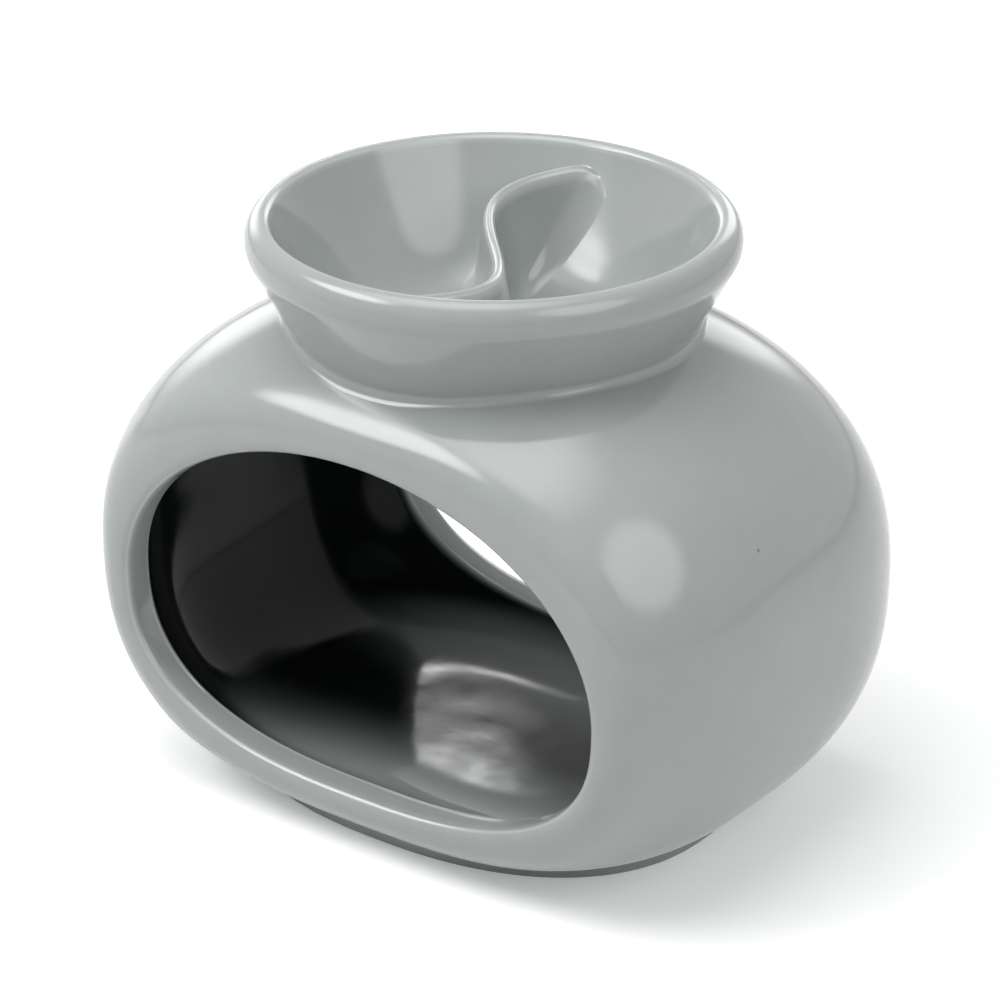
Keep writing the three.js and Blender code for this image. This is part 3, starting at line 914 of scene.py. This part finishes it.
def lamp(name, azimuth, elevation, width, height, level, soft=LAMP_SOFTNESS):
    """Soft box that shines at a level of 1 as a white sheet does. Its place and sizes are in
    degrees as seen from the burner. It fades from soft, a share of its size, out to its edge."""
    data = bpy.data.lights.new(name, "AREA")
    data.shape = "RECTANGLE"
    data.size = 2.0 * LAMP_DISTANCE * math.tan(math.radians(width / 2.0))
    data.size_y = 2.0 * LAMP_DISTANCE * math.tan(math.radians(height / 2.0))
    data.energy = level * math.pi * data.size * data.size_y
    data.use_nodes = True
    tree = data.node_tree
    place = tree.nodes.new("ShaderNodeNewGeometry").outputs["Parametric"]
    centred = tree.nodes.new("ShaderNodeVectorMath")
    centred.operation = "DISTANCE"
    centred.inputs[1].default_value = LAMP_MIDDLE
    tree.links.new(place, centred.inputs[0])
    fade = tree.nodes.new("ShaderNodeMapRange")
    fade.interpolation_type = "SMOOTHSTEP"
    fade.inputs["From Min"].default_value = LAMP_EDGE
    fade.inputs["From Max"].default_value = soft
    tree.links.new(centred.outputs["Value"], fade.inputs["Value"])
    tree.links.new(fade.outputs["Result"], tree.nodes["Emission"].inputs["Strength"])
    obj = bpy.data.objects.new(name, data)
    obj.visible_camera = False
    bpy.context.scene.collection.objects.link(obj)
    aim = Vector((0.0, 0.0, CAMERA_AIM))
    obj.location = aim + toward(azimuth, elevation, LAMP_DISTANCE)
    obj.rotation_euler = (aim - obj.location).to_track_quat("-Z", "Y").to_euler()


def seen_rays(tree):
    """1 for the rays that the camera, a glossy surface or glass looks along, else 0."""
    path = tree.nodes.new("ShaderNodeLightPath")
    seen = path.outputs["Is Camera Ray"]
    for ray in ("Is Glossy Ray", "Is Transmission Ray"):
        either = tree.nodes.new("ShaderNodeMath")
        either.operation = "MAXIMUM"
        tree.links.new(seen, either.inputs[0])
        tree.links.new(path.outputs[ray], either.inputs[1])
        seen = either.outputs[0]
    return seen


FLOOR_REACH = 4.0
FLOOR_WHITE = (0.86, 0.86, 0.86, 1.0)
FLOOR_ROUGHNESS = 0.9
FLOOR_LIFT = 0.25
PURE_WHITE = (1.0, 1.0, 1.0, 1.0)


def floor():
    mesh = bmesh.new()
    bmesh.ops.create_grid(mesh, x_segments=1, y_segments=1, size=FLOOR_REACH)
    data = bpy.data.meshes.new("floor")
    mesh.to_mesh(data)
    mesh.free()
    obj = bpy.data.objects.new("floor", data)
    bpy.context.scene.collection.objects.link(obj)
    material = bpy.data.materials.new("pale_floor")
    material.use_nodes = True
    tree = material.node_tree
    shader = tree.nodes["Principled BSDF"]
    shader.inputs["Base Color"].default_value = FLOOR_WHITE
    shader.inputs["Roughness"].default_value = FLOOR_ROUGHNESS
    shader.inputs["Emission Color"].default_value = PURE_WHITE
    lift = tree.nodes.new("ShaderNodeMath")
    lift.operation = "MULTIPLY"
    lift.inputs[1].default_value = FLOOR_LIFT
    tree.links.new(seen_rays(tree), lift.inputs[0])
    tree.links.new(lift.outputs[0], shader.inputs["Emission Strength"])
    data.materials.append(material)


SKY_TINT = (0.96, 0.98, 1.0, 1.0)
DIM_SKY = 0.23


def world():
    """White to the eye and in reflections, and a dim pale sky as a light."""
    sky = bpy.data.worlds.new("studio")
    sky.use_nodes = True
    tree = sky.node_tree
    light = tree.nodes["Background"]
    light.inputs["Color"].default_value = SKY_TINT
    light.inputs["Strength"].default_value = DIM_SKY
    shown = tree.nodes.new("ShaderNodeBackground")
    shown.inputs["Color"].default_value = PURE_WHITE
    mix = tree.nodes.new("ShaderNodeMixShader")
    tree.links.new(seen_rays(tree), mix.inputs[0])
    tree.links.new(light.outputs[0], mix.inputs[1])
    tree.links.new(shown.outputs[0], mix.inputs[2])
    tree.links.new(mix.outputs[0], tree.nodes["World Output"].inputs["Surface"])
    bpy.context.scene.world = sky


camera()
floor()
world()
lamp("overhead", azimuth=-40.0, elevation=79.0, width=70.0, height=70.0, level=3.3)
lamp("brow_left", azimuth=-48.0, elevation=46.0, width=52.0, height=28.0, level=8.0, soft=0.2)
lamp("window_left", azimuth=-122.0, elevation=12.0, width=42.0, height=30.0, level=2.3)
lamp("front_right", azimuth=82.0, elevation=36.0, width=46.0, height=46.0, level=2.5, soft=0.3)
lamp("back_right", azimuth=-165.0, elevation=18.0, width=30.0, height=34.0, level=2.5, soft=0.2)
lamp("back_low", azimuth=-142.1, elevation=27.6, width=4.2, height=2.2, level=14.0, soft=0.25)
bpy.context.scene.view_settings.view_transform = "Standard"
